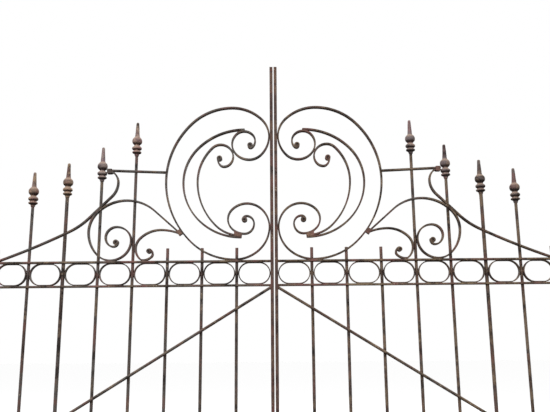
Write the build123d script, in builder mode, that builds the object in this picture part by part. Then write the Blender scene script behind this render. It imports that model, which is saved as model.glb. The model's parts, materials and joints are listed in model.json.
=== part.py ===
from build123d import *

import math
import os

os.makedirs("parts", exist_ok=True)

# A pair of wrought iron driveway gates between two iron posts.
# Millimetres, +Z up, +X along the gate, the front faces -Y, the ground is z = 0.
# The origin is the centre of the left post's foot, on the ground.
# Both leaves are alike: the left one is drawn and the right one is its mirror image.
# A place on a leaf is given by its distance from the gate's centre line and its height.

# ---- bars and flats ----
BAR_D = 14.0                # round uprights
STOUT_BAR_D = 16.5          # the third spear, a heavier upright
RAIL_T, RAIL_DEPTH = 8.0, 32.0
SCROLL_T, SCROLL_DEPTH = 7.8, 22.0
RING_T, RING_DEPTH = 4.5, 20.0
BRACE_D = 13.0
MEETING_STILE_W, HINGE_STILE_W, STILE_DEPTH = 14.5, 25.0, 44.0
EYE_D, SMALL_EYE_D = 26.0, 23.0    # solid snubs at the ends of the scrolls
COLLAR_T = 2.0

# ---- clearances ----
FIT = 0.15                  # a bar in its drilled hole
SEAT = 0.3                  # between pieces that lie against each other
PIN_FIT = 0.05              # a hinge pin in its eye, on the radius
SWING = 5.5                 # between a moving leaf and what it passes

# ---- the leaf's layout, from the gate's centre line outwards ----
FIRST_BAR = 173.0
PITCH = 160.0
SHORT_BARS, SPEARS = 3, 4

# ---- heights ----
LEAF_FOOT = 60.0
BOTTOM_RAIL_Z = 85.0
BAND_H = 111.0              # between the centres of a ring band's two rails
TOP_RAIL_Z = 1105.0
MEETING_STILE_TOP = 2052.0
SHORT_TOP = 58.0            # short bars and hinge stiles stand this far above the top rail

# ---- posts and hinges ----
POST_W, POST_H = 60.0, 1450.0
FOOT_W, FOOT_T, FOOT_HOLE_D, FOOT_HOLES = 160.0, 12.0, 14.0, 120.0
CAP_W, CAP_T, CAP_RISE, CAP_SLOPE = 78.0, 10.0, 34.0, 45.0
PIN_D, BOSS_D, BOSS_H, EYE_H, PIN_STANDS = 16.0, 32.0, 22.0, 36.0, 8.0
NECK_T = 16.0
HINGE_OFFSET = 21.0         # from the hinge stile's side to the pin's axis

# ---- worked out from the sizes above ----
stile_side = SWING / 2 + MEETING_STILE_W
hinge_stile = FIRST_BAR + PITCH * (SHORT_BARS + SPEARS)
hinge_side = hinge_stile - HINGE_STILE_W / 2
pin_axis = hinge_stile + HINGE_STILE_W / 2 + HINGE_OFFSET
post_side = pin_axis + STILE_DEPTH / 2 + SWING
gate_mid = post_side + POST_W / 2
short_bars = [FIRST_BAR + PITCH * i for i in range(SHORT_BARS)]
spears = [FIRST_BAR + PITCH * (SHORT_BARS + i) for i in range(SPEARS)]
spear_d = [BAR_D, BAR_D, STOUT_BAR_D, BAR_D]
lower_band_top_z = BOTTOM_RAIL_Z + BAND_H
ring_rail_z = TOP_RAIL_Z - BAND_H
rail_top = TOP_RAIL_Z + RAIL_T / 2
bar_foot = BOTTOM_RAIL_Z - RAIL_T / 2
short_top = rail_top + SHORT_TOP
scroll_scale = PITCH / 160                     # the scrollwork is drawn for a pitch of 160
on_rail = rail_top + SEAT + SCROLL_T / 2       # centre line of a scroll that rests on the rail
on_stile = stile_side + SEAT + SCROLL_T / 2    # and of one that leans on the meeting stile
mid_plane = Plane.YZ.offset(gate_mid)


def at(u, z):
    """Sketch point of the left leaf, u from the centre line and z above the ground."""
    return gate_mid - u, z


def up(height):
    """Level at the given height above the top rail, as drawn for a pitch of 160."""
    return rail_top + height * scroll_scale


def spot(u, height):
    """Place on the scrollwork, u from the centre line, as drawn for a pitch of 160."""
    return u * scroll_scale, up(height)


def beyond(u, height):
    """Place on the scrollwork, u beyond the first spear, as drawn for a pitch of 160."""
    return spears[0] + u * scroll_scale, up(height)


def bend(start, heading, end):
    """Two tangent arcs of 45 degrees each, from one level or plumb point to the next."""
    run = Vector(*end) - start
    ahead = abs(run.dot(heading))
    turn = heading.X * run.Y - heading.Y * run.X
    aside = abs(turn)
    c, v = math.cos(math.pi / 4), 1 - math.cos(math.pi / 4)
    first = (ahead * c - aside * v) / (c * c - v * v)
    second = (aside * c - ahead * v) / (c * c - v * v)
    angle = math.copysign(45, turn)
    one = JernArc(start, heading, first, angle)
    two = JernArc(one @ 1, one % 1, second, angle)
    return [one, two]


def follow(points, heading):
    """A scroll's centre line through the points where it runs level or plumb in turn."""
    here, heading = Vector(*points[0]), Vector(*heading)
    arcs = []
    for point in points[1:]:
        arcs += bend(here, heading, point)
        here, heading = arcs[-1] @ 1, arcs[-1] % 1
    return arcs


def write(part, name):
    part.label = name
    export_step(part, f"parts/{name}.step")


def write_pair(piece, name):
    """Writes a piece of the left leaf and its mirror image on the right leaf."""
    with BuildPart() as twin:
        mirror(piece.part, about=mid_plane)
    write(piece.part, f"left_{name}")
    write(twin.part, f"right_{name}")


def bar_holes(places, top):
    """Drills for the uprights at the given places, each with its bar's diameter."""
    for u, d in places:
        with Locations((gate_mid - u, 0, bar_foot)):
            Cylinder(d / 2 + FIT, top - bar_foot, align=(Align.CENTER, Align.CENTER, Align.MIN),
                     mode=Mode.SUBTRACT)


# ---- stiles ----
with BuildPart() as meeting_stile:
    with Locations((gate_mid - SWING / 2 - MEETING_STILE_W / 2, 0, LEAF_FOOT)):
        Box(MEETING_STILE_W, STILE_DEPTH, MEETING_STILE_TOP - LEAF_FOOT,
            align=(Align.CENTER, Align.CENTER, Align.MIN))
write_pair(meeting_stile, "meeting_stile")

with BuildPart() as hinge_stile_bar:
    with Locations((gate_mid - hinge_stile, 0, LEAF_FOOT)):
        Box(HINGE_STILE_W, STILE_DEPTH, short_top - LEAF_FOOT,
            align=(Align.CENTER, Align.CENTER, Align.MIN))
write_pair(hinge_stile_bar, "hinge_stile")

# ---- rails of the two ring bands, drilled for every upright ----
uprights = [(u, BAR_D) for u in short_bars] + list(zip(spears, spear_d))


def rails(heights):
    with BuildPart() as pair:
        with BuildSketch(Plane.XZ):
            for z in heights:
                with Locations(at((stile_side + hinge_side) / 2, z)):
                    Rectangle(hinge_side - stile_side, RAIL_T)
        extrude(amount=RAIL_DEPTH / 2, both=True)
        bar_holes(uprights, short_top)
    return pair


write_pair(rails((ring_rail_z, TOP_RAIL_Z)), "upper_rails")
write_pair(rails((BOTTOM_RAIL_Z, lower_band_top_z)), "lower_rails")

# ---- rings, one to a bay ----
edges = [(0.0, stile_side)]
edges += [(u - d / 2, u + d / 2) for u, d in uprights]
edges += [(hinge_side, hinge_stile)]


def rings(band_z):
    height = BAND_H - RAIL_T - 2 * SEAT
    with BuildPart() as row:
        with BuildSketch(Plane.XZ):
            for (_, left), (right, _) in zip(edges, edges[1:]):
                width = right - left - 2 * SEAT
                with Locations(at((left + right) / 2, band_z + BAND_H / 2)):
                    SlotOverall(width, height)
                    SlotOverall(width - 2 * RING_T, height - 2 * RING_T, mode=Mode.SUBTRACT)
        extrude(amount=RING_DEPTH / 2, both=True)
    return row


write_pair(rings(ring_rail_z), "upper_rings")
write_pair(rings(BOTTOM_RAIL_Z), "lower_rings")

# ---- uprights ----
with BuildPart() as short_bar_set:
    for u in short_bars:
        with Locations((gate_mid - u, 0, bar_foot)):
            Cylinder(BAR_D / 2, short_top - bar_foot, align=(Align.CENTER, Align.CENTER, Align.MIN))
write_pair(short_bar_set, "short_bars")

spear_tops = [up(height) for height in (504, 381, 304, 261)]

with BuildPart() as spear_bar_set:
    for u, d, top in zip(spears, spear_d, spear_tops):
        with Locations((gate_mid - u, 0, bar_foot)):
            Cylinder(d / 2, top - bar_foot, align=(Align.CENTER, Align.CENTER, Align.MIN))
write_pair(spear_bar_set, "spear_bars")

# ---- turned finials: socket, two beads, ball and blunt spike ----
BALL_R = 22.5
FINIAL_TURNS = [(10.0, 0.0), (16.5, 14.0), (20.0, 20.0), (16.0, 28.0), (22.0, 40.0), (11.5, 54.0),
                (20.0, 66.0), (BALL_R, 76.0), (20.0, 88.0), (9.5, 97.0), (4.5, 163.0)]
FINIAL_H = 167.0

with BuildPart() as finial:
    with BuildSketch(Plane.XZ):
        with BuildLine():
            Polyline((0, 0), *FINIAL_TURNS, (0, FINIAL_H), close=True)
        make_face()
    revolve(axis=Axis.Z)

with BuildPart() as finial_set:
    for u, top in zip(spears, spear_tops):
        with Locations((gate_mid - u, 0, top)):
            add(finial.part)
write_pair(finial_set, "finials")

# ---- main scroll: a great C with a volute at each end ----
C_TOP, C_SIDE = spot(200, 741), spot(509, 381)
UPPER_VOLUTE_TOP, UPPER_VOLUTE_SIDE = spot(141, 622), spot(198, 558)
LOWER_VOLUTE_FOOT = spot(137, 124)
main_turns = [spot(121, 552), spot(110, 539), spot(88, 573), UPPER_VOLUTE_TOP, UPPER_VOLUTE_SIDE,
              spot(116, 481), (on_stile, up(597)), C_TOP, C_SIDE, (spot(182, 0)[0], on_rail),
              (on_stile, up(156)), spot(127, 268), spot(215, 193), LOWER_VOLUTE_FOOT,
              spot(93, 171), spot(128, 208), spot(146, 192)]
main_eyes = [spot(112, 552), spot(138, 191)]
side_bend = 2 * main_turns.index(C_SIDE)       # first of the arcs that leave the C's side


def main_line():
    return follow([at(*p) for p in main_turns], (0, -1))


def trim_to(centre_line):
    """Cuts the sketch in hand along another scroll, leaving the seat."""
    with BuildLine() as outline:
        centre_line()
        offset(amount=SCROLL_T / 2 + SEAT, side=Side.BOTH)
    make_face(outline.edges(), mode=Mode.SUBTRACT)


def cut_at(block):
    """Cuts the sketch in hand back to a forged block with the given corners, leaving the seat."""
    offset(Polygon(*block, align=None, mode=Mode.PRIVATE), amount=SEAT, mode=Mode.SUBTRACT)


with BuildPart() as main_scroll:
    with BuildSketch(Plane.XZ):
        with BuildLine():
            main_arcs = main_line()
            offset(amount=SCROLL_T / 2, side=Side.BOTH)
        make_face()
        with Locations(*[at(*p) for p in main_eyes]):
            Circle(EYE_D / 2)
    extrude(amount=SCROLL_DEPTH / 2, both=True)
    bar_holes([(u, BAR_D) for u in short_bars[:2]], short_top)
write_pair(main_scroll, "main_scroll")

# ---- two crescents inside the C, whose ends are gathered in a block under its lower volute ----
LAP = SCROLL_T + SEAT                          # from one strip's centre line to the next one's
CRESCENT_END = spot(155, 0)[0]
inner_end = (CRESCENT_END, LOWER_VOLUTE_FOOT[1] - LAP)
outer_end = (CRESCENT_END, LOWER_VOLUTE_FOOT[1] - 2 * LAP)
outer_turns = [(UPPER_VOLUTE_TOP[0], UPPER_VOLUTE_TOP[1] + LAP), spot(427, 373), outer_end]
inner_turns = [spot(266, 486), spot(236, 447), (spot(184.2, 0)[0] + LAP, up(496)), spot(253, 556),
               spot(360, 376), inner_end]
inner_eye = spot(257.5, 488)


def outer_line():
    return follow([at(*p) for p in outer_turns], (-1, 0))


with BuildPart() as outer_crescent:
    with BuildSketch(Plane.XZ):
        with BuildLine():
            outer_arcs = outer_line()
            offset(amount=SCROLL_T / 2, side=Side.BOTH)
        make_face()
    extrude(amount=SCROLL_DEPTH / 2, both=True)
write_pair(outer_crescent, "outer_crescent")

# The block fills the wedge between the volute's foot and the outer crescent's end.
WEDGE_START_AT = 0.21                          # share of the arc at the volute's foot where it starts
WEDGE_END_AT = 0.82                            # share of the same arc where it ends
WEDGE_BACK_AT = 0.86                           # share of the crescent's last arc where it starts
foot_bend = 2 * main_turns.index(LOWER_VOLUTE_FOOT) - 1    # the arc that ends at the volute's foot
outer_tip = (outer_arcs[-1] @ 1) + (outer_arcs[-1] % 1) * (SCROLL_T / 2)
gather_block = [main_arcs[foot_bend] @ WEDGE_START_AT, main_arcs[foot_bend] @ WEDGE_END_AT,
                outer_tip, outer_arcs[-1] @ WEDGE_BACK_AT]

with BuildPart() as inner_crescent:
    with BuildSketch(Plane.XZ):
        with BuildLine():
            follow([at(*p) for p in inner_turns], (0, -1))
            offset(amount=SCROLL_T / 2, side=Side.BOTH)
        make_face()
        with Locations(at(*inner_eye)):
            Circle(EYE_D / 2)
        cut_at(gather_block)
    extrude(amount=SCROLL_DEPTH / 2, both=True)
write_pair(inner_crescent, "inner_crescent")

# ---- block on the C's side, in which the tails of the side and foot scrolls end ----
TAIL_BLOCK_L, TAIL_BLOCK_W = 25.0, 17.0
TAIL_BLOCK_AT = 0.80                           # share of the arc that leaves the C's side
tail_root = main_arcs[side_bend] @ TAIL_BLOCK_AT
half_block = (main_arcs[side_bend] % TAIL_BLOCK_AT) * (TAIL_BLOCK_L / 2)
outward = Vector(half_block.Y, -half_block.X).normalized()
block_face = outward * (SCROLL_T / 2 + SEAT + TAIL_BLOCK_W)
tail_middle = tail_root + block_face - outward * (TAIL_BLOCK_W / 2)
tail_block = [tail_root - half_block, tail_root + half_block,
              tail_root + half_block + block_face, tail_root - half_block + block_face]

# ---- side scroll: a volute on the rail, whose tail ends in the block ----
by_spear = BAR_D / 2 + SEAT + SCROLL_T / 2     # centre line of a strip that leans on a spear
SIDE_TOP = beyond(39, 287)
TAIL_R = 200.0
side_turns = [beyond(73, 86), beyond(92, 68), beyond(130, 112), beyond(80, 161),
              (spears[0] + by_spear, up(94)), (beyond(104, 0)[0], on_rail), beyond(211, 140), SIDE_TOP]
side_eye = beyond(81, 88)

with BuildPart() as side_scroll:
    with BuildSketch(Plane.XZ):
        with BuildLine():
            side_arcs = follow([at(*p) for p in side_turns], (0, -1))
            top = Vector(*at(*SIDE_TOP))
            away = tail_middle - (top - Vector(0, TAIL_R))
            swing = math.degrees(math.acos(TAIL_R / away.length) + math.atan2(away.Y, away.X))
            tail = JernArc(top, (1, 0), TAIL_R, swing - 90)
            Line(tail @ 1, tail_middle)
            offset(amount=SCROLL_T / 2, side=Side.BOTH)
        make_face()
        with Locations(at(*side_eye)):
            Circle(EYE_D / 2)
        trim_to(main_line)
        cut_at(tail_block)
    extrude(amount=SCROLL_DEPTH / 2, both=True)
    bar_holes(list(zip(spears, spear_d))[:2], spear_tops[1])
write_pair(side_scroll, "side_scroll")

# ---- foot scroll: a small volute on the rail, between the C and the first spear ----
FOOT_TOP = beyond(-125, 145)
foot_turns = [beyond(-66, 45), beyond(-76, 54), beyond(-91, 31), (beyond(-48, 0)[0], on_rail),
              (spears[0] - by_spear, up(59)), FOOT_TOP]
foot_eye = beyond(-73.5, 46)

with BuildPart() as foot_scroll:
    with BuildSketch(Plane.XZ):
        with BuildLine():
            foot_arcs = follow([at(*p) for p in foot_turns], (0, 1))
            TangentArc(foot_arcs[-1] @ 1, tail_middle + half_block * 0.5, tangent=foot_arcs[-1] % 1)
            offset(amount=SCROLL_T / 2, side=Side.BOTH)
        make_face()
        with Locations(at(*foot_eye)):
            Circle(SMALL_EYE_D / 2)
        cut_at(tail_block)
    extrude(amount=SCROLL_DEPTH / 2, both=True)
write_pair(foot_scroll, "foot_scroll")

# ---- crest bar: from the C's side out through the first spear ----
CREST_RISE = 12.0
crest_root = main_arcs[side_bend - 1] @ 0.87
crest_end = Vector(gate_mid - beyond(134, 0)[0], crest_root.Y + CREST_RISE)

with BuildPart() as crest_bar:
    with BuildSketch(Plane.XZ):
        with BuildLine():
            Line(crest_root, crest_end)
            offset(amount=SCROLL_T / 2, side=Side.BOTH)
        make_face()
        trim_to(main_line)
    extrude(amount=SCROLL_DEPTH / 2, both=True)
    bar_holes([(spears[0], BAR_D)], spear_tops[0])
write_pair(crest_bar, "crest_bar")

# ---- swoop bar: curls out from under the crest bar's end, lies against the side scroll's
#      shoulder and sweeps down through three spears to the foot of the hinge stile ----
CURL_R, CURL_SIDE = 95.0, 82.0
SWOOP_STRAIGHT, SWOOP_R, SWOOP_TURN = 48.0, 330.0, 19.0
LIP_REACH = 33.0            # from the curl's top to where the bar runs level under the crest bar
half = math.sqrt(0.5)
touch = side_arcs[-1] @ 0 + Vector(-half, half) * LAP
curl_start = gate_mid - spears[0] - CURL_SIDE - CURL_R * (1 - half)
curl_run = curl_start - touch.X
swoop_end = Vector(gate_mid - hinge_side + SEAT + SCROLL_T / 2, on_rail)
crest_under = crest_end.Y - CREST_RISE * 0.1 - LAP

with BuildPart() as swoop_bar:
    with BuildSketch(Plane.XZ):
        with BuildLine():
            drop = Line(touch + Vector(curl_run, curl_run), touch - Vector(half, half) * SWOOP_STRAIGHT)
            flare = JernArc(drop @ 1, drop % 1, SWOOP_R, -SWOOP_TURN)
            TangentArc(flare @ 1, swoop_end, tangent=flare % 1)
            curl = JernArc(drop @ 0, -(drop % 0), CURL_R, 45)
            lip = bend(curl @ 1, Vector(0, 1), ((curl @ 1).X - LIP_REACH, crest_under))
            Line(lip[1] @ 1, (crest_end.X, crest_under))
            offset(amount=SCROLL_T / 2, side=Side.BOTH)
        make_face()
    extrude(amount=SCROLL_DEPTH / 2, both=True)
    bar_holes(list(zip(spears, spear_d))[1:], spear_tops[1])
write_pair(swoop_bar, "swoop_bar")

# ---- collars: the two forged blocks, and flat iron wrapped round the end of the crest bar ----
BLOCK_DEPTH, CREST_L = 24.0, 20.0
CREST_SLACK = 2.0           # the collar is this much taller than the two bars in it
bundle_h = LAP + SCROLL_T + CREST_SLACK

with BuildPart() as collars:
    with BuildSketch(Plane.XZ):
        Polygon(*gather_block, align=None)
        trim_to(main_line)
        trim_to(outer_line)
    extrude(amount=BLOCK_DEPTH / 2, both=True)
    with BuildSketch(Plane.XZ):
        Polygon(*tail_block, align=None)
        trim_to(main_line)
    extrude(amount=BLOCK_DEPTH / 2, both=True)
    with Locations((crest_end.X + CREST_L / 2, 0, (crest_end.Y + crest_under) / 2)):
        Box(CREST_L, SCROLL_DEPTH + 2 * (SEAT + COLLAR_T), bundle_h + 2 * (SEAT + COLLAR_T))
        Box(CREST_L, SCROLL_DEPTH + 2 * SEAT, bundle_h + 2 * SEAT, mode=Mode.SUBTRACT)
write_pair(collars, "collars")

# ---- brace: a round bar in front of the uprights, from corner to corner ----
brace_y = -(STOUT_BAR_D + BRACE_D) / 2 - SEAT
brace_run = hinge_side - stile_side
top_z = ring_rail_z - RAIL_T / 2
low_z = lower_band_top_z + RAIL_T / 2
brace_slope = math.atan2(top_z - low_z - BRACE_D * 1.25, brace_run)
reach = BRACE_D / 2 / math.cos(brace_slope) + SEAT
brace_head = Vector(gate_mid - stile_side, brace_y, top_z - reach)
brace_foot = Vector(gate_mid - hinge_side, brace_y, low_z + reach)
along = (brace_head - brace_foot).normalized()

with BuildPart() as brace:
    with BuildSketch(Plane(brace_foot - along * BRACE_D * 2, z_dir=along)):
        Circle(BRACE_D / 2)
    extrude(amount=(brace_head - brace_foot).length + 4 * BRACE_D)
    with Locations(((brace_head.X + brace_foot.X) / 2, brace_y, (top_z + low_z) / 2)):
        Box(brace_run - 2 * SEAT, 2 * BRACE_D, 2 * (top_z - low_z), mode=Mode.INTERSECT)
write_pair(brace, "brace")

# ---- hinges: an eye on the stile rides on a pin that stands on the post ----
eye_feet = [z + (BAND_H - EYE_H) / 2 for z in (BOTTOM_RAIL_Z, ring_rail_z)]
pin_x = gate_mid - pin_axis

with BuildPart() as hinge_eyes:
    for z in eye_feet:
        with BuildSketch(Plane.XY.offset(z)):
            with Locations((pin_x, 0)):
                Circle(BOSS_D / 2)
            with Locations((pin_x + HINGE_OFFSET / 2, 0)):
                Rectangle(HINGE_OFFSET, NECK_T)
            with Locations((pin_x, 0)):
                Circle(PIN_D / 2 + PIN_FIT, mode=Mode.SUBTRACT)
        extrude(amount=EYE_H)
write_pair(hinge_eyes, "hinge_eyes")

with BuildPart() as pintles:
    for z in eye_feet:
        with BuildSketch(Plane.XY.offset(z - SEAT - BOSS_H)):
            with Locations((pin_x, 0)):
                Circle(BOSS_D / 2)
            with Locations((pin_x - (post_side - pin_axis) / 2, 0)):
                Rectangle(post_side - pin_axis, NECK_T)
        extrude(amount=BOSS_H)
        with BuildSketch(Plane.XY.offset(z - SEAT)):
            with Locations((pin_x, 0)):
                Circle(PIN_D / 2)
        extrude(amount=SEAT + EYE_H + PIN_STANDS)
write_pair(pintles, "pintles")

# ---- posts with their foot flanges, and caps ----
with BuildPart() as post:
    with BuildSketch(Plane.XY):
        Rectangle(FOOT_W, FOOT_W)
        with GridLocations(FOOT_HOLES, FOOT_HOLES, 2, 2):
            Circle(FOOT_HOLE_D / 2, mode=Mode.SUBTRACT)
    extrude(amount=FOOT_T)
    with BuildSketch(Plane.XY):
        Rectangle(POST_W, POST_W)
    extrude(amount=POST_H)
write_pair(post, "post")

with BuildPart() as post_cap:
    with BuildSketch(Plane.XY.offset(POST_H)):
        Rectangle(CAP_W, CAP_W)
    extrude(amount=CAP_T)
    with BuildSketch(Plane.XY.offset(POST_H + CAP_T)):
        Rectangle(CAP_W, CAP_W)
    extrude(amount=CAP_RISE, taper=CAP_SLOPE)
write_pair(post_cap, "post_cap")
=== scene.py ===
"""A pair of weathered wrought iron driveway gates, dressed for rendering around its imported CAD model."""

import json
import math

import bmesh
import bpy
from mathutils import Matrix, Vector, noise
from mathutils.bvhtree import BVHTree


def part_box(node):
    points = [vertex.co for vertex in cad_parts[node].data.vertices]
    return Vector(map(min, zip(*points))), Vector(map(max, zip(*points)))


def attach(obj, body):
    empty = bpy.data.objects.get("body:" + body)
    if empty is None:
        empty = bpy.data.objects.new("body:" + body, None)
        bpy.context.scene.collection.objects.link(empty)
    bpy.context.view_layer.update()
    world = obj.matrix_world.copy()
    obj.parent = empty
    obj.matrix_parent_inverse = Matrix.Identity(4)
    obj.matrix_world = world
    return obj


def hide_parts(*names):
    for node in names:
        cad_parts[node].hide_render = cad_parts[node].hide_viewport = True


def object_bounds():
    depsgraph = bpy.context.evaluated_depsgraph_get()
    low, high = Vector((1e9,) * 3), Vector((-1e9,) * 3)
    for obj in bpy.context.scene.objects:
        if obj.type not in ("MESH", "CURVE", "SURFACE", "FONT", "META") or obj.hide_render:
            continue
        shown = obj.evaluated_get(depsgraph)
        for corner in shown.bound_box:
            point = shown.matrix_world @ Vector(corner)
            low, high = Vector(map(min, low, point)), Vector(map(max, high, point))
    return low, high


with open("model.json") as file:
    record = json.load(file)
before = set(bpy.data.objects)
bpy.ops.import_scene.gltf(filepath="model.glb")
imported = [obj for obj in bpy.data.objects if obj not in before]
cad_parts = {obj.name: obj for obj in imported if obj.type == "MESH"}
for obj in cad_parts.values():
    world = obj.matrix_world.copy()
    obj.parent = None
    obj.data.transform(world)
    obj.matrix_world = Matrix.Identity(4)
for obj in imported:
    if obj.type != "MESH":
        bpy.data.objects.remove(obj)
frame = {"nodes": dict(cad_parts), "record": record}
cad_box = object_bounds()

SIDES = ("left", "right")
POSTS = "posts"
CORNERS = ((-1, -1), (1, -1), (1, 1), (-1, 1))
MIDDLE = (cad_box[0].x + cad_box[1].x) / 2

# ---------------------------------------------------------------- reading the frame

SAME_PLACE = 5            # decimals of a metre to which two vertices count as one
OUTLINE_STEP = 0.0015     # between points on an outline
LONGEST_EDGE = 0.5        # a longer edge runs the length of a rail or stile, away from its joints
FRONT_DEPTH = 0.0001      # how far behind the frontmost point an edge is still on the front
TOUCHING = 0.0009         # two nodes this close are in contact
BACKWARD = (0.0, 0.003, 0.006)    # how far behind a node's front the other node is looked for
SAME_LINE = 0.004         # contact points this close lie on one line


def solids(node):
    """Lowest and highest corner of each separate solid of a CAD node, from left to right and up."""
    mesh = frame["nodes"][node].data
    keys = [tuple(round(c, SAME_PLACE) for c in v.co) for v in mesh.vertices]
    parent = {key: key for key in keys}

    def root(key):
        while parent[key] != key:
            parent[key] = parent[parent[key]]
            key = parent[key]
        return key

    for edge in mesh.edges:
        a, b = (root(keys[i]) for i in edge.vertices)
        parent[a] = b
    groups = {}
    for key in parent:
        groups.setdefault(root(key), []).append(key)
    boxes = []
    for points in groups.values():
        low = Vector(min(p[i] for p in points) for i in range(3))
        high = Vector(max(p[i] for p in points) for i in range(3))
        boxes.append((low, high))
    return sorted(boxes, key=lambda box: (round(box[0].x, 3), box[0].z))


def surface(node):
    """A search tree over a CAD node's faces."""
    mesh = frame["nodes"][node].data
    return BVHTree.FromPolygons([v.co for v in mesh.vertices], [p.vertices for p in mesh.polygons])


def front_outline(node):
    """Points along the edges of a CAD node's front face."""
    mesh = frame["nodes"][node].data
    front = min(v.co.y for v in mesh.vertices)
    points = []
    for edge in mesh.edges:
        a, b = (mesh.vertices[i].co for i in edge.vertices)
        if max(a.y, b.y) < front + FRONT_DEPTH and (b - a).length < LONGEST_EDGE:
            count = max(1, int((b - a).length / OUTLINE_STEP))
            points += [a.lerp(b, i / count) for i in range(count + 1)]
    return points


def ends_of(points):
    """The two points of a cluster that lie furthest apart."""
    first = max(points, key=lambda p: (p - points[0]).length)
    last = max(points, key=lambda p: (p - first).length)
    return first, last


def contacts(node, other):
    """Both ends of each line along which a CAD node's front edges lie against another node."""
    tree = surface(other)
    near = []
    for point in front_outline(node):
        for depth in BACKWARD:
            seat = tree.find_nearest(point + Vector((0, depth, 0)), TOUCHING)[0]
            if seat is not None:
                near.append((point + Vector((seat.x, point.y, seat.z))) / 2)
                break
    lines = []
    for point in near:
        touching = [line for line in lines if any((point - p).length < SAME_LINE for p in line)]
        for line in touching:
            lines.remove(line)
        lines.append(sum(touching, [point]))
    return [ends_of(line) for line in lines if len(line) > 2]


# ---------------------------------------------------------------- making meshes

SHORTEST = 0.00001        # the length that a shorter bead gets
BEAD_PITCH = 0.0028       # from one swelling of a weld bead to the next
BEAD_SIDES = 8
RING_SEGMENTS = 22        # round the bar that a ring of weld metal lies on
RING_SIDES = 6


class Piece:
    """Collects vertices and faces of one new piece."""

    def __init__(self):
        self.verts = []
        self.faces = []

    def add(self, verts, faces):
        start = len(self.verts)
        self.verts += [Vector(v) for v in verts]
        self.faces += [tuple(start + i for i in face) for face in faces]

    def add_all(self, shapes):
        for verts, faces in shapes:
            self.add(verts, faces)

    def finish(self, name, body, material, smooth=math.radians(40)):
        mesh = bpy.data.meshes.new(name)
        mesh.from_pydata(self.verts, [], self.faces)
        shape = bmesh.new()
        shape.from_mesh(mesh)
        bmesh.ops.recalc_face_normals(shape, faces=shape.faces)
        shape.to_mesh(mesh)
        shape.free()
        mesh.materials.append(material)
        mesh.shade_smooth()
        mesh.set_sharp_from_angle(angle=smooth)
        piece = bpy.data.objects.new(name, mesh)
        bpy.context.scene.collection.objects.link(piece)
        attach(piece, body)
        return piece


def uneven(place, share):
    """A factor that strays from 1 by up to a share, from place to place."""
    return 1 + share * noise.noise(place)


def circle(count, turn=0.0):
    """Cosine and sine at each of count even steps round a circle, starting at the angle turn."""
    angles = [turn + 2 * math.pi * i / count for i in range(count)]
    return [(math.cos(angle), math.sin(angle)) for angle in angles]


def loft(rings):
    """A closed form through rings of vertices, each ring as long as the next."""
    count = len(rings[0])
    verts = [v for ring in rings for v in ring]
    faces = []
    for r in range(len(rings) - 1):
        for i in range(count):
            j = (i + 1) % count
            faces.append((r * count + i, r * count + j, (r + 1) * count + j, (r + 1) * count + i))
    last = (len(rings) - 1) * count
    faces.append(tuple(reversed(range(count))))
    faces.append(tuple(last + i for i in range(count)))
    return verts, faces


def lathe(profile, foot, segments=28, wobble=0.0):
    """A turned form on a vertical axis. The profile holds radius and height pairs, from foot to tip."""
    rings = []
    for radius, height in profile:
        ring = []
        for x, y in circle(segments):
            out = Vector((x, y, 0))
            place = foot + out * radius + Vector((0, 0, height))
            ring.append(place + out * wobble * noise.noise(place * 60))
        rings.append(ring)
    return loft(rings)


def prism(centre, radius, height, sides, chamfer=0.0, turn=0.0):
    """An upright prism with chamfered rims, such as a nut or a washer."""
    inner = radius - chamfer
    levels = ((inner, 0), (radius, chamfer), (radius, height - chamfer), (inner, height))
    return loft([[centre + Vector((r * x, r * y, h)) for x, y in circle(sides, turn)] for r, h in levels])


def weld_bead(start, end, radius):
    """A rippled line of weld metal between two points, thinner towards its ends."""
    along = end - start
    if along.length < SHORTEST:
        along = Vector((0, 0, SHORTEST))
    steps = max(4, int(along.length / BEAD_PITCH) * 2)
    aim = along.normalized()
    across = aim.cross(Vector((0, 1, 0)))
    across = across.normalized() if across.length > 0.1 else Vector((1, 0, 0))
    up = across.cross(aim)
    rings = []
    for s in range(steps + 1):
        t = s / steps
        centre = start + along * t
        taper = min(1.0, 0.35 + 3.2 * min(t, 1 - t))
        ripple = 1.08 if s % 2 else 0.9
        swell = taper * ripple * uneven(centre * 140, 0.25)
        rings.append([centre + (across * x + up * y) * radius * swell for x, y in circle(BEAD_SIDES)])
    return loft(rings)


def beads_round(corners, radius):
    """Weld beads along the closed line through some corners."""
    for i, corner in enumerate(corners):
        yield weld_bead(corner, corners[(i + 1) % len(corners)], radius)


def ring_bead(centre, across, up, thick):
    """A ring of weld metal through centre + across and centre + up, such as one round a bar."""
    normal = across.cross(up).normalized()
    verts = []
    for x, y in circle(RING_SEGMENTS):
        out = across * x + up * y
        fat = thick * uneven((centre + out) * 160, 0.35)
        verts += [centre + out + out.normalized() * fat * c + normal * fat * s for c, s in circle(RING_SIDES)]
    faces = []
    for segment in range(RING_SEGMENTS):
        here = segment * RING_SIDES
        there = (segment + 1) % RING_SEGMENTS * RING_SIDES
        for i in range(RING_SIDES):
            j = (i + 1) % RING_SIDES
            faces.append((here + i, there + i, there + j, here + j))
    return verts, faces


def tack(centre, size, stretch):
    """A small irregular lump of weld metal, stretched along each axis."""
    shape = bmesh.new()
    bmesh.ops.create_icosphere(shape, subdivisions=2, radius=1)
    verts = []
    for v in shape.verts:
        lump = uneven(v.co * 1.7 + centre * 90, 0.28)
        verts.append(centre + Vector(v.co[i] * stretch[i] for i in range(3)) * size * lump)
    faces = [[v.index for v in f.verts] for f in shape.faces]
    shape.free()
    return verts, faces


# ---------------------------------------------------------------- materials


def srgb(red, green, blue):
    """Linear colour of an 8-bit sRGB one."""
    shares = [value / 255 for value in (red, green, blue)]
    return (*(((s + 0.055) / 1.055) ** 2.4 if s > 0.04045 else s / 12.92 for s in shares), 1)


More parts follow.
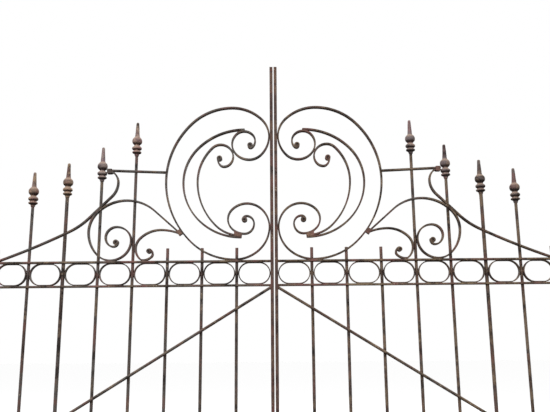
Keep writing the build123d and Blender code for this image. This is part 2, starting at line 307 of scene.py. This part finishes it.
class Nodes:
    """Short calls that add shader nodes and link them."""

    def __init__(self, tree):
        self.tree = tree
        tree.nodes.clear()

    def add(self, kind, output=0, links=None, **values):
        """Adds a node and gives back one of its outputs. Links hold each input's value or what feeds it."""
        node = self.tree.nodes.new(kind)
        for name, value in values.items():
            setattr(node, name, value)
        for name, value in (links or {}).items():
            socket = node.inputs[name]
            if isinstance(value, bpy.types.NodeSocket):
                self.tree.links.new(value, socket)
            else:
                socket.default_value = value
        return node.outputs[output] if node.outputs else node

    def noise(self, place, scale, detail, roughness, distortion=0.0):
        return self.add("ShaderNodeTexNoise", 0, {
            "Vector": place, "Scale": scale, "Detail": detail, "Roughness": roughness,
            "Distortion": distortion})

    def cells(self, place, scale):
        """The distance to the nearest of many scattered points."""
        return self.add("ShaderNodeTexVoronoi", "Distance", {
            "Vector": place, "Scale": scale, "Randomness": 1.0})

    def math(self, operation, a, b):
        return self.add("ShaderNodeMath", 0, {0: a, 1: b}, operation=operation)

    def spread(self, value, low, high, to_low=0.0, to_high=1.0):
        """A smooth step from to_low, where the value is at low, to to_high, where it is at high."""
        return self.add("ShaderNodeMapRange", 0, {
            "Value": value, "From Min": low, "From Max": high, "To Min": to_low, "To Max": to_high},
            interpolation_type="SMOOTHSTEP")

    def share(self, value, low, high, most):
        """A smooth step from nothing, where the value is at low, to most, where it is at high."""
        return self.math("MULTIPLY", self.spread(value, low, high), most)

    def mix(self, share, a, b, blend="MIX"):
        return self.add("ShaderNodeMix", 2, {0: share, 6: a, 7: b}, data_type="RGBA", blend_type=blend)

    def cover(self, colour, layers):
        """A colour under layers, each a share and the colour that hides that share of what is below."""
        for share, over in layers:
            colour = self.mix(share, colour, over)
        return colour


STEEL = srgb(104, 99, 95)         # bare grey iron
BROWN = srgb(88, 71, 64)          # settled rust
TAN = srgb(154, 131, 108)         # dry rust bloom
RED = srgb(136, 92, 84)           # grime, and the colour of painted shade on undersides and in crevices
GRIME_AND_SHADE = srgb(26, 20, 18)           # grime
PAINT = srgb(212, 202, 182)       # flecks of old paint

LEAN_REACH = 0.4          # within this far of the middle, the left leaf's rust turns into the right one's
GREY_REACH = 0.1          # and within this far of it, the left leaf's grey fades out


class Iron:
    """Old iron: rust and grime on a grey ground, with worn edges and pits, painted shade in crevices and on
    undersides, and a painted highlight mixed with dust on faces that look up.

    The values below are the usual ones, and a kind of iron names those that it changes.
    """

    ground = STEEL            # colour of the bare iron
    settled = BROWN           # and of its settled rust
    bloom = TAN               # and of its dry rust bloom
    fresh = RED               # and of its fresh rust
    rust = 0.5                # how much there is of settled rust and bloom
    fresh_share = 0.3         # how much there is of fresh rust
    grime = 0.85              # how dark the dirtiest patches are
    flecks = 0.5              # how strong the flecks of old paint are
    dust_and_top_light = 0.3                # how pale the faces that look up are, with dust and a painted highlight from above
    underside_shade = 0.4           # how dark the painted shade on faces that look down is
    crevice_shade_reach = 0.014           # how far the painted shade reaches out of a crevice, in metres
    pits = 0.5                # how deep the pits are
    lean_by = 0.07            # how much more the right leaf has rusted, or the left one if below zero
    ends_above = None         # the height above which iron is as red as at a joint
    grey_above = None         # the height above which the left leaf has kept its grey
    tints = ()                # distances from the gate's middle, and what multiplies the colour there

    def __init__(self, name, **changes):
        for key, value in changes.items():
            setattr(self, key, value)
        self.material = bpy.data.materials.new(name)
        self.material.use_nodes = True
        self.nodes = n = Nodes(self.material.node_tree)
        self.place = n.add("ShaderNodeTexCoord", "Object")
        axes = n.add("ShaderNodeSeparateXYZ", "X", {"Vector": self.place}).node.outputs
        self.x = axes["X"]
        self.z = axes["Z"]
        self.lean = n.spread(self.x, MIDDLE - LEAN_REACH, MIDDLE + LEAN_REACH, -self.lean_by, self.lean_by)
        self.blotch = n.noise(self.place, 26.0, 7.0, 0.66, 0.6)
        self.flake = n.noise(self.place, 130.0, 6.0, 0.7, 0.8)
        self.grain = n.noise(self.place, 420.0, 5.0, 0.7)
        self.rounded = n.add("ShaderNodeBevel", 0, {"Radius": 0.0012}, samples=4)
        shader = n.add("ShaderNodeBsdfPrincipled", 0, {
            "Base Color": self.worn(self.toned(self.rusted())),
            "Roughness": n.spread(self.blotch, 0.40, 0.65, 0.55, 0.86),
            "Metallic": n.share(self.blotch, 0.52, 0.40, 0.25),
            "Normal": self.relief(),
            "Specular IOR Level": 0.3})
        n.add("ShaderNodeOutputMaterial", 0, {"Surface": shader})

    def rusted(self):
        """The ground's colour with rust and grime on it, in stretches, patches, blotches and streaks."""
        n = self.nodes
        drift = n.noise(self.place, 3.1, 3.0, 0.55, 0.4)
        stretch = n.noise(self.place, 6.3, 4.0, 0.6, 1.1)
        patch = n.noise(self.place, 11.0, 5.0, 0.6, 0.7)
        upright = n.add("ShaderNodeMapping", 0, {"Vector": self.place, "Scale": (90.0, 90.0, 6.0)})
        streak = n.noise(upright, 1.0, 4.0, 0.6)
        leaning_drift = n.math("ADD", drift, self.lean)
        leaning_stretch = n.math("ADD", stretch, n.math("MULTIPLY", self.lean, 0.5))
        leaning_blotch = n.math("ADD", self.blotch, n.math("MULTIPLY", self.lean, 0.4))
        return n.cover(self.ground, (
            (n.spread(leaning_drift, 0.34, 0.72 - 0.2 * self.rust), self.settled),
            (n.share(leaning_stretch, 0.50, 0.62, 0.25 + 0.7 * self.rust), self.bloom),
            (n.share(stretch, 0.48, 0.36, 1.6 * self.fresh_share), self.fresh),
            (n.share(patch, 0.50, 0.36, self.grime), GRIME_AND_SHADE),
            (n.share(leaning_blotch, 0.50, 0.66, 0.3 + 0.6 * self.rust), self.bloom),
            (n.share(patch, 0.54, 0.66, 2 * self.fresh_share), self.fresh),
            (n.share(streak, 0.50, 0.75, 0.35), self.settled),
            (n.share(self.flake, 0.42, 0.30, 0.75), GRIME_AND_SHADE)))

    def toned(self, colour):
        """The rusted colour, changed where this iron's height or its place on the gate asks for it."""
        n = self.nodes
        if self.ends_above is not None:
            end = n.share(self.z, self.ends_above, self.ends_above + 0.012, 0.8)
            colour = n.mix(n.math("MULTIPLY", end, n.spread(self.blotch, 0.30, 0.50)), colour, self.fresh)
        if self.grey_above is not None:
            high = n.spread(self.z, self.grey_above, self.grey_above + 0.02)
            left = n.spread(self.x, MIDDLE + GREY_REACH, MIDDLE - GREY_REACH)
            kept = n.math("MULTIPLY", n.math("MULTIPLY", high, left), 0.85)
            colour = n.mix(kept, colour, n.mix(self.blotch, GRIME_AND_SHADE, STEEL))
        if self.tints:
            colour = n.mix(1.0, colour, self.tint(), "MULTIPLY")
        return n.mix(1.0, colour, n.spread(self.grain, 0.25, 0.75, 0.68, 1.12), "MULTIPLY")

    def tint(self):
        """The tints, blended from one to the next along the gate."""
        n = self.nodes
        start = cad_box[0].x
        length = cad_box[1].x - cad_box[0].x
        along = n.math("DIVIDE", n.math("SUBTRACT", self.x, start), length)
        ramp = n.add("ShaderNodeValToRGB", 0, {"Fac": along})
        stops = ramp.node.color_ramp.elements
        while len(stops) < len(self.tints):
            stops.new(1.0)
        for stop, (away, tint) in zip(stops, self.tints):
            stop.position = (MIDDLE + away - start) / length
            stop.color = (*tint, 1)
        return ramp

    def worn(self, colour):
        """The colour with flecks of paint, dust and a painted highlight on faces that look up, painted shade
        on undersides and in crevices, worn edges and rust in corners.
        """
        n = self.nodes
        chip = n.spread(n.cells(self.place, 95.0), 0.30, 0.16)
        fleck = n.math("MULTIPLY", chip, n.spread(self.blotch, 0.56, 0.62))
        normal = n.add("ShaderNodeNewGeometry", "Normal")
        facing = n.add("ShaderNodeSeparateXYZ", "Z", {"Vector": normal})
        # faces that look up: dust, and a painted highlight where the light from above falls
        dusty_lit_top = n.math("MULTIPLY", n.spread(facing, 0.15, 0.8), n.spread(self.flake, 0.30, 0.50))
        flat = n.add("ShaderNodeVectorMath", "Value", {0: normal, 1: self.rounded}, operation="DOT_PRODUCT")
        edge = n.math("MULTIPLY", n.spread(flat, 0.995, 0.88), n.spread(self.flake, 0.40, 0.60))
        corner = n.add("ShaderNodeAmbientOcclusion", "AO", {"Distance": 0.05}, samples=4)
        crevice_shading = n.add("ShaderNodeAmbientOcclusion", "AO", {"Distance": self.crevice_shade_reach}, samples=4)
        return n.cover(colour, (
            (n.math("MULTIPLY", fleck, self.flecks), PAINT),
            (n.math("MULTIPLY", dusty_lit_top, self.dust_and_top_light), self.bloom),
            # painted shade on faces that look down
            (n.share(facing, -0.15, -0.75, self.underside_shade), GRIME_AND_SHADE),
            (n.math("MULTIPLY", edge, 0.45), self.bloom),
            (n.share(corner, 0.80, 0.50, 0.9 * self.fresh_share + 0.15), self.fresh),
            # painted shade: crevices and grooves darkened towards near-black
            (n.spread(crevice_shading, 0.75, 0.25, 0.0, 0.9), GRIME_AND_SHADE)))

    def relief(self):
        """Blotches, flakes, grain and pits as bumps on a surface with slightly rounded edges."""
        n = self.nodes
        height = n.math("ADD", n.math("MULTIPLY", self.blotch, 0.5), n.math("MULTIPLY", self.flake, 0.55))
        height = n.math("ADD", height, n.math("MULTIPLY", self.grain, 0.18))
        height = n.math("ADD", height, n.share(n.cells(self.place, 260.0), 0.0, 0.35, 0.3 * self.pits))
        return n.add("ShaderNodeBump", 0, {
            "Strength": 0.75, "Distance": 0.0011, "Height": height, "Normal": self.rounded})


RAIL_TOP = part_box("left_upper_rails")[1].z
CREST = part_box("left_crest_bar")[0].z

# No two finials have quite the same colour: the outer ones are browner.
FINIAL_TINTS = ((-0.97, (1.28, 1.25, 1.06)), (-0.81, (0.99, 1.05, 1.20)), (-0.65, (1.46, 1.46, 1.44)),
                (0.65, (1.26, 1.28, 1.29)), (0.81, (1.18, 1.14, 1.14)), (0.97, (0.88, 0.83, 0.77)))

IRON = Iron("weathered_iron").material
TIP_IRON = Iron("bar_iron", fresh=srgb(142, 104, 98), ends_above=RAIL_TOP + 0.006).material
STILE_IRON = Iron(
    "stile_iron", ground=srgb(108, 86, 80), settled=srgb(88, 66, 61), bloom=srgb(140, 111, 93),
    fresh=srgb(132, 86, 79), rust=0.4, fresh_share=0.4, grime=0.6).material
RAIL_IRON = Iron(
    "rail_iron", ground=srgb(120, 109, 99), settled=srgb(106, 87, 76), bloom=srgb(168, 146, 118),
    fresh=srgb(148, 102, 98), rust=0.6, fresh_share=0.45, flecks=0.9).material
RING_IRON = Iron(
    "ring_iron", ground=srgb(84, 80, 76), settled=srgb(80, 68, 60), rust=0.45, flecks=0.3).material
# The finials get a strong painted highlight on their tops and strong painted shade on their undersides and in
# their grooves.
CAST_IRON = Iron(
    "finial_iron", ground=srgb(126, 115, 115), settled=srgb(108, 88, 88), bloom=srgb(184, 160, 142),
    fresh=srgb(148, 108, 108), rust=0.6, fresh_share=0.35, dust_and_top_light=0.9, underside_shade=0.8, crevice_shade_reach=0.024, pits=1.0,
    lean_by=-0.08, tints=FINIAL_TINTS).material
JOINT_IRON = Iron(
    "joint_iron", ground=srgb(136, 106, 98), settled=srgb(116, 84, 76), bloom=srgb(170, 138, 114),
    fresh=srgb(150, 106, 100), rust=0.8, fresh_share=0.4, flecks=0.2, pits=0.8,
    grey_above=CREST - 0.03).material
EYE_IRON = Iron("rolled_iron", ground=srgb(132, 122, 115), settled=srgb(112, 92, 84), grime=0.4).material
# The middle of each coil is coloured near-black: painted shade in the coil's hollow.
CORE_SHADE_IRON = Iron(
    "core_shade_iron", ground=srgb(40, 35, 33), settled=srgb(34, 27, 25), bloom=srgb(58, 48, 42),
    fresh=srgb(50, 36, 33), flecks=0.0, dust_and_top_light=0.1).material
POST_IRON = Iron("post_iron", rust=0.45, grime=0.35).material
POST_JOINT_IRON = Iron(
    "post_joint_iron", ground=srgb(112, 98, 90), settled=srgb(98, 76, 68), rust=0.6, grime=0.35).material
BOLT_IRON = Iron(
    "bolt_iron", ground=srgb(124, 122, 118), settled=srgb(108, 94, 84), rust=0.35, fresh_share=0.2,
    flecks=0.0).material

# The CAD nodes that aren't named here have the plain weathered iron.
FINISH = {
    "short_bars": TIP_IRON,
    "meeting_stile": STILE_IRON,
    "upper_rails": RAIL_IRON,
    "lower_rails": RAIL_IRON,
    "upper_rings": RING_IRON,
    "lower_rings": RING_IRON,
    "finials": CAST_IRON,
    "collars": JOINT_IRON,
    "hinge_stile": POST_IRON,
    "hinge_eyes": POST_IRON,
    "pintles": POST_IRON,
    "post": POST_IRON,
    "post_cap": POST_IRON,
}

for node, item in frame["nodes"].items():
    item.data.materials.clear()
    item.data.materials.append(FINISH.get(node.split("_", 1)[1], IRON))

# ---------------------------------------------------------------- turned finials

# Radius and height in millimetres, from the socket through two beads and the ball to the blunt spike.
TURNED = ((9.6, 0.0), (9.8, 3.0), (11.5, 8.5), (14.6, 11.5), (19.4, 13.8), (21.2, 15.8), (21.5, 18.4),
          (20.4, 21.2), (17.4, 23.0), (15.4, 24.8), (15.2, 27.6), (17.0, 29.4), (20.8, 31.8), (22.7, 34.8),
          (23.0, 38.2), (22.0, 42.0), (19.0, 45.4), (15.0, 48.0), (12.9, 50.4), (12.8, 53.6), (15.6, 56.8),
          (20.0, 60.6), (22.8, 65.6), (23.7, 71.6), (23.3, 77.6), (21.4, 83.4), (17.8, 88.4), (13.9, 92.0),
          (11.9, 95.0), (11.0, 99.0), (10.3, 106.0), (9.3, 122.0), (8.1, 142.0), (7.2, 157.0), (6.5, 163.0),
          (4.6, 166.0), (1.5, 166.9))
PROFILE = [(radius / 1000, height / 1000) for radius, height in TURNED]
OUT_OF_TRUE = 0.0007      # how far a finial's surface strays from the round

for side in SIDES:
    turned = Piece()
    for low, high in solids(f"{side}_finials"):
        foot = Vector(((low.x + high.x) / 2, 0, low.z))
        turned.add(*lathe(PROFILE, foot, wobble=OUT_OF_TRUE))
    finials = turned.finish(f"{side}_turned_finials", f"{side}_leaf", CAST_IRON)
    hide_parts(f"{side}_finials")

# ---------------------------------------------------------------- rolled scroll ends

# Radius of the round snub ends of each scroll that has them, as in the CAD model.
SNUB_R = {"main_scroll": 0.013, "inner_crescent": 0.013, "side_scroll": 0.013, "foot_scroll": 0.0115}
SAME_MIDDLE = 0.0012      # side faces whose centres of curvature are this close are of one snub end
FEWEST_FACES = 24         # that a snub end has
STRIP_FROM = 0.002        # the strip is looked for from this far outside a snub end's radius
STRIP_TO = 0.012          # to this far
CORE_R = 0.0054
CORE_LEVELS = ((1.0, -0.0008), (1.0, 0.0006), (0.8, 0.0013), (0.35, 0.0016))    # share of CORE_R, height
CORE_SIDES = 20
COIL_TURNS = 1.2
COIL_STEPS = 54
COIL_SIDES = 10
COIL_HALF = 0.0026        # half the strip's width at the start
COIL_RISE = 0.003         # its height over the flat face, before it tapers


def snub_ends(node, radius):
    """Centre of each round snub end of a scroll, the angle its strip comes in at and the hand it winds to."""
    mesh = frame["nodes"][node].data
    found = []
    for face in mesh.polygons:
        if abs(face.normal.y) > 0.1:
            continue
        middle = face.center - face.normal * radius
        middle.y = 0
        for group in found:
            if (group[0] / group[1] - middle).length < SAME_MIDDLE:
                group[0] += middle
                group[1] += 1
                group[2] += face.normal * face.area
                break
        else:
            found.append([middle, 1, face.normal * face.area])
    outline = front_outline(node)
    for total, count, facing in found:
        if count < FEWEST_FACES:
            continue
        middle = total / count
        arrival = -facing
        arrival.y = 0
        strip = Vector((0, 0, 0))
        for point in outline:
            out = Vector((point.x - middle.x, 0, point.z - middle.z))
            if radius + STRIP_FROM < out.length < radius + STRIP_TO:
                strip += out
        hand = 1 if strip.x * arrival.z - strip.z * arrival.x > 0 else -1
        yield middle, math.atan2(arrival.z, arrival.x), hand


def coil(middle, radius, start, hand, y):
    """The rolled strip of a snub end, standing proud of its flat face at y."""
    rings = []
    for step in range(COIL_STEPS + 1):
        t = step / COIL_STEPS
        angle = start + hand * 2 * math.pi * COIL_TURNS * t
        out = Vector((math.cos(angle), 0, math.sin(angle)))
        place = middle + out * ((radius - COIL_HALF) * (1 - t) + CORE_R * t) + Vector((0, y, 0))
        wide = COIL_HALF * (1 - 0.35 * t)
        tall = COIL_RISE * (1 - 0.4 * t) * min(1.0, 0.3 + 6 * t)
        lump = uneven(place * 120, 0.08)
        rings.append([place + out * wide * lump * c + Vector((0, tall * lump * s, 0))
                      for c, s in circle(COIL_SIDES)])
    return loft(rings)


def core(middle, y, outward):
    """The tip of the strip at the middle of a coil, coloured near-black as painted shade in the coil's
    hollow.
    """
    rings = []
    for share, rise in CORE_LEVELS:
        radius = CORE_R * share
        level = y + outward * rise
        rings.append([middle + Vector((radius * c, level, radius * s)) for c, s in circle(CORE_SIDES)])
    return loft(rings)


for side in SIDES:
    coils = Piece()
    shaded_tips = Piece()
    for node, radius in SNUB_R.items():
        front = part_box(f"{side}_{node}")[0].y
        for middle, start, hand in snub_ends(f"{side}_{node}", radius):
            for y in (front, -front):
                coils.add(*coil(middle, radius, start, hand, y))
                shaded_tips.add(*core(middle, y, math.copysign(1, y)))
    coils.finish(f"{side}_rolled_ends", f"{side}_leaf", EYE_IRON)
    shaded_tips.finish(f"{side}_rolled_shaded_tips", f"{side}_leaf", CORE_SHADE_IRON)

# ---------------------------------------------------------------- welds on the leaves

SCROLL_JOINTS = (
    ("main_scroll", "meeting_stile"), ("main_scroll", "upper_rails"), ("main_scroll", "collars"),
    ("crest_bar", "main_scroll"), ("inner_crescent", "main_scroll"), ("inner_crescent", "collars"),
    ("outer_crescent", "collars"), ("side_scroll", "upper_rails"), ("side_scroll", "swoop_bar"),
    ("side_scroll", "collars"), ("foot_scroll", "upper_rails"), ("foot_scroll", "collars"),
    ("swoop_bar", "hinge_stile"))
FRAME_JOINTS = (
    ("upper_rails", "meeting_stile"), ("upper_rails", "hinge_stile"),
    ("lower_rails", "meeting_stile"), ("lower_rails", "hinge_stile"))

# Radii of the beads.
SCROLL_BEAD = 0.0022
FRAME_BEAD = 0.0024
RING_BEAD = 0.0018
BRACE_BEAD = 0.0018
BAR_BEAD = 0.0016

SUNK = 0.0006             # how far a bead's middle lies inside the face that it is laid on
OFF_RAIL = 0.0004         # how far a bead's middle stands off a rail
OFF_BAR = 0.0008          # and off the bar that it goes round
OFF_BRACE = 0.0006        # and off the brace
THROUGH = 0.003           # a bar that starts this far below a bead's level passes through it
RING_INSET = 0.002        # from an oval ring's front or back to the bead on its edge
RING_SEAT = 0.0004        # how far the bead's middle lies inside the ring
HALF_ON_RAIL = 0.008      # half the length of a ring's beads on its rails
HALF_ON_BAR = 0.005       # and on its bars

IN_PLANE = 0.0005         # a vertex this close to a plane lies in it
SLACK = 0.0001            # added to a solid's box when its vertices are looked for

TACK_SIZE = 0.0031
TACK_STRETCH = (1.35, 0.75, 1.0)
TACK_LIFT = 0.0042        # from the brace's middle line up and down to a tack
TACK_FORWARD = 0.0004     # from half way between the brace and the bar towards the front


def joint_beads(side, joints, radius):
    """Weld beads, front and back, along every line where the named nodes meet."""
    for node, other in joints:
        for start, end in contacts(f"{side}_{node}", f"{side}_{other}"):
            for y in (start.y + SUNK, -start.y - SUNK):
                yield weld_bead(Vector((start.x, y, start.z)), Vector((end.x, y, end.z)), radius)


def seam_beads(node, x, radius):
    """Weld beads round each place where a CAD node's solids end against the upright plane at x."""
    points = [v.co for v in frame["nodes"][node].data.vertices if abs(v.co.x - x) < IN_PLANE]
    for low, high in solids(node):
        ends = [p for p in points if low.z - SLACK < p.z < high.z + SLACK]
        front = min(p.y for p in ends)
        back = max(p.y for p in ends)
        bottom = min(p.z for p in ends)
        top = max(p.z for p in ends)
        outline = ((front, bottom), (back, bottom), (back, top), (front, top))
        yield from beads_round([Vector((x, y, z)) for y, z in outline], radius)


def bar_beads(bars, rails):
    """A ring of weld metal round every bar, over and under each rail that it passes through."""
    for bar_low, bar_high in bars:
        radius = (bar_high.x - bar_low.x) / 2 + OFF_BAR
        x = (bar_low.x + bar_high.x) / 2
        across = Vector((radius, 0, 0))
        depth = Vector((0, radius, 0))
        for rail_low, rail_high in rails:
            for z in (rail_high.z + OFF_RAIL, rail_low.z - OFF_RAIL):
                if bar_low.z < z - THROUGH:
                    yield ring_bead(Vector((x, 0, z)), across, depth, BAR_BEAD)


def ring_beads(rings):
    """Short beads, front and back, where each oval ring touches its rails and its bars."""
    for low, high in rings:
        middle = (low + high) / 2
        left, right = middle.x - HALF_ON_RAIL, middle.x + HALF_ON_RAIL
        bottom, top = middle.z - HALF_ON_BAR, middle.z + HALF_ON_BAR
        for y in (low.y + RING_INSET, high.y - RING_INSET):
            for z in (low.z + RING_SEAT, high.z - RING_SEAT):
                yield weld_bead(Vector((left, y, z)), Vector((right, y, z)), RING_BEAD)
            for x in (low.x + RING_SEAT, high.x - RING_SEAT):
                yield weld_bead(Vector((x, y, bottom)), Vector((x, y, top)), RING_BEAD)


def brace_beads(side, bars):
    """Weld metal round both ends of the brace, and tacks where it crosses each bar."""
    low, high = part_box(f"{side}_brace")
    thick = high.y - low.y
    y = (low.y + high.y) / 2
    hinge_x, meeting_x = (low.x, high.x) if side == "left" else (high.x, low.x)
    slope = (high.z - low.z - thick) / (meeting_x - hinge_x)
    tall = thick / 2 * math.sqrt(1 + slope * slope)
    foot_z = low.z + tall
    head_z = high.z - tall
    half_depth = Vector((0, thick / 2 + OFF_BRACE, 0))
    half_height = Vector((0, 0, tall + OFF_BRACE))
    for x, z in ((hinge_x, foot_z), (meeting_x, head_z)):
        yield ring_bead(Vector((x, y, z)), half_depth, half_height, BRACE_BEAD)
    for bar_low, bar_high in bars:
        x = (bar_low.x + bar_high.x) / 2
        z = foot_z + (head_z - foot_z) * (x - hinge_x) / (meeting_x - hinge_x)
        for lift in (-1, 1):
            spot = Vector((x, (high.y + bar_low.y) / 2 - TACK_FORWARD, z + lift * TACK_LIFT))
            yield tack(spot, TACK_SIZE, TACK_STRETCH)


for side in SIDES:
    leaf = f"{side}_leaf"
    rails = sorted(solids(f"{side}_upper_rails") + solids(f"{side}_lower_rails"), key=lambda box: box[0].z)
    rings = solids(f"{side}_upper_rings") + solids(f"{side}_lower_rings")
    bars = solids(f"{side}_short_bars") + solids(f"{side}_spear_bars")

    piece = Piece()
    piece.add_all(bar_beads(bars, rails))
    piece.finish(f"{side}_bar_welds", leaf, JOINT_IRON)

    piece = Piece()
    piece.add_all(ring_beads(rings))
    piece.finish(f"{side}_ring_welds", leaf, JOINT_IRON)

    piece = Piece()
    piece.add_all(joint_beads(side, SCROLL_JOINTS, SCROLL_BEAD))
    piece.finish(f"{side}_scroll_welds", leaf, JOINT_IRON)

    piece = Piece()
    piece.add_all(joint_beads(side, FRAME_JOINTS, FRAME_BEAD))
    piece.add_all(brace_beads(side, bars))
    piece.finish(f"{side}_frame_welds", leaf, JOINT_IRON)

    stile_low, stile_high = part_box(f"{side}_hinge_stile")
    outer_face = stile_low.x if side == "left" else stile_high.x
    piece = Piece()
    piece.add_all(seam_beads(f"{side}_hinge_eyes", outer_face, FRAME_BEAD))
    piece.finish(f"{side}_hinge_welds", leaf, POST_JOINT_IRON)

# ---------------------------------------------------------------- the posts' welds and foot bolts

POST_BEAD = 0.0034
OFF_FLANGE = 0.0006       # how far that bead's middle stands off the flange
ON_FLANGE = 0.003         # the flange's top is looked for this far inside its edge
FROM_HEIGHT = 0.5         # from this height down
FROM_SIDE = 0.1           # and the shaft's face from this far outside the flange
STUD_R = 0.006
NUT_R = 0.0104
NUT_H = 0.0098
NUT_CHAMFER = 0.0009
WASHER_R = 0.012
WASHER_H = 0.0025
WASHER_CHAMFER = 0.0004
THREAD = 0.00175          # from one thread to the next
THREAD_DEPTH = 0.0009
THREADS = 6               # that show above the nut
STUD_TIP = ((0.0004, 1.0), (0.0014, 1.6))    # how much thinner the stud is, and how many threads further up


def foot_bolt(foot, stud_end, turn):
    """A washer, a nut turned by an angle and the end of a threaded stud, standing on a flange."""
    yield prism(foot, WASHER_R, WASHER_H, 32, WASHER_CHAMFER)
    yield prism(foot + Vector((0, 0, WASHER_H)), NUT_R, NUT_H, 6, NUT_CHAMFER, turn)
    stud = [(STUD_R, stud_end)]
    for k in range(THREADS):
        level = WASHER_H + NUT_H + k * THREAD
        stud += [(STUD_R, level), (STUD_R - THREAD_DEPTH, level + THREAD / 2)]
    stud += [(STUD_R - thinner, level + threads * THREAD) for thinner, threads in STUD_TIP]
    yield lathe(stud, foot, segments=20)


for side in SIDES:
    low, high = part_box(f"{side}_post")
    centre = (low + high) / 2
    tree = surface(f"{side}_post")
    over_flange = Vector((low.x + ON_FLANGE, 0, FROM_HEIGHT))
    beside_shaft = Vector((low.x - FROM_SIDE, 0, (low.z + high.z) / 2))
    flange_top = tree.ray_cast(over_flange, Vector((0, 0, -1)))[0].z
    half = centre.x - tree.ray_cast(beside_shaft, Vector((1, 0, 0)))[0].x

    piece = Piece()
    foot_seam = [Vector((centre.x + half * a, half * b, flange_top + OFF_FLANGE)) for a, b in CORNERS]
    piece.add_all(beads_round(foot_seam, POST_BEAD))
    gate_face = centre.x + (half if side == "left" else -half)
    piece.add_all(seam_beads(f"{side}_pintles", gate_face, FRAME_BEAD))
    piece.finish(f"{side}_post_welds", POSTS, POST_JOINT_IRON)

    mount = next(m for m in frame["record"]["mounts"] if m["name"] == f"{side}_foot_bolts")
    reach_x, reach_y = (mount["dims"][key] / 2000 for key in ("spacing_x_mm", "spacing_y_mm"))
    piece = Piece()
    for a, b in CORNERS:
        foot = Vector((mount["pos_m"][0] + a * reach_x, mount["pos_m"][1] + b * reach_y, flange_top))
        nut_turn = 0.35 * a + 0.2 * b
        piece.add_all(foot_bolt(foot, low.z - foot.z, nut_turn))
    piece.finish(f"{side}_foot_bolts", POSTS, BOLT_IRON, smooth=math.radians(25))

# ---------------------------------------------------------------- floor and sky

FLOOR_REACH = 60.0
FLOOR_DROP = 0.0005       # so that the floor and the flanges' undersides aren't in one plane
FLOOR_SEEN = srgb(250, 250, 250)
FLOOR_LIT = srgb(96, 94, 90)
FLOOR_GLOW = 0.09
SKY_LOW = 0.30            # strength of the sky's light from the horizon
SKY_HIGH = 1.10           # and from overhead
WHITE = (1, 1, 1, 1)

floor_mesh = bpy.data.meshes.new("floor")
floor_mesh.from_pydata([(FLOOR_REACH * a, FLOOR_REACH * b, 0) for a, b in CORNERS], [], [(0, 1, 2, 3)])
floor = bpy.data.objects.new("floor", floor_mesh)
floor.location.z = cad_box[0].z - FLOOR_DROP
bpy.context.scene.collection.objects.link(floor)

# The floor looks white to the camera, and all other light meets grey.
paving = bpy.data.materials.new("pale_floor")
paving.use_nodes = True
n = Nodes(paving.node_tree)
seen = n.add("ShaderNodeLightPath", "Is Camera Ray")
matt = n.add("ShaderNodeBsdfDiffuse", 0, {"Color": n.mix(seen, FLOOR_LIT, FLOOR_SEEN)})
glow = n.add("ShaderNodeEmission", 0, {"Color": WHITE, "Strength": n.math("MULTIPLY", seen, FLOOR_GLOW)})
n.add("ShaderNodeOutputMaterial", 0, {"Surface": n.add("ShaderNodeAddShader", 0, {0: matt, 1: glow})})
floor_mesh.materials.append(paving)

# The sky is white where it is seen, and the light that it casts is stronger from overhead.
world = bpy.data.worlds.new("sky")
bpy.context.scene.world = world
world.use_nodes = True
n = Nodes(world.node_tree)
ray = n.add("ShaderNodeLightPath", "Is Camera Ray").node.outputs
shown = n.math("MAXIMUM", ray["Is Camera Ray"], ray["Is Glossy Ray"])
shown = n.math("MAXIMUM", shown, ray["Is Transmission Ray"])
aim = n.add("ShaderNodeTexCoord", "Generated")
height = n.add("ShaderNodeSeparateXYZ", "Z", {"Vector": aim})
daylight = n.spread(height, -0.1, 0.9, SKY_LOW, SKY_HIGH)
strength = n.add("ShaderNodeMix", 0, {0: shown, 2: daylight, 3: 1.0}, data_type="FLOAT")
back = n.add("ShaderNodeBackground", 0, {"Color": WHITE, "Strength": strength})
n.add("ShaderNodeOutputWorld", 0, {"Surface": back})

# ---------------------------------------------------------------- lamps and camera

LAMP_SIZE = (4.0, 3.0)
# Each lamp's name, its x from the gate's centre, its y and z, and its power.
LAMPS = (("front_light", -2.2, -5.0, 5.0, 190), ("back_light", 2.5, 5.0, 4.5, 110))

centre = (cad_box[0] + cad_box[1]) / 2
for name, away, y, z, power in LAMPS:
    light = bpy.data.lights.new(name, "AREA")
    light.shape = "RECTANGLE"
    light.size, light.size_y = LAMP_SIZE
    light.energy = power
    lamp = bpy.data.objects.new(name, light)
    lamp.location = (centre.x + away, y, z)
    lamp.rotation_euler = (centre - lamp.location).to_track_quat("-Z", "Y").to_euler()
    bpy.context.scene.collection.objects.link(lamp)

# The camera stands a little right of the gate's centre line, low down, and looks up.
EYE = Vector((centre.x + 0.0314, -3.2125, 0.6856))
PITCH_UP, ROLL, YAW = math.radians(12.48), math.radians(0.446), math.radians(-0.236)
SENSOR_WIDTH, LENS = 36.0, 45.82
SHIFT = (-0.005, -0.0124)

ahead = math.cos(PITCH_UP)
forward = Vector((math.sin(YAW) * ahead, math.cos(YAW) * ahead, math.sin(PITCH_UP)))
level = Vector((math.cos(YAW), -math.sin(YAW), 0))
upward = level.cross(forward)
right = level * math.cos(ROLL) - upward * math.sin(ROLL)
top = level * math.sin(ROLL) + upward * math.cos(ROLL)
camera_data = bpy.data.cameras.new("camera")
camera_data.sensor_width = SENSOR_WIDTH
camera_data.lens = LENS
camera_data.shift_x, camera_data.shift_y = SHIFT
camera = bpy.data.objects.new("camera", camera_data)
camera.matrix_world = Matrix.Translation(EYE) @ Matrix((right, top, -forward)).transposed().to_4x4()
bpy.context.scene.collection.objects.link(camera)
bpy.context.scene.camera = camera

bpy.context.scene.view_settings.view_transform = "Standard"
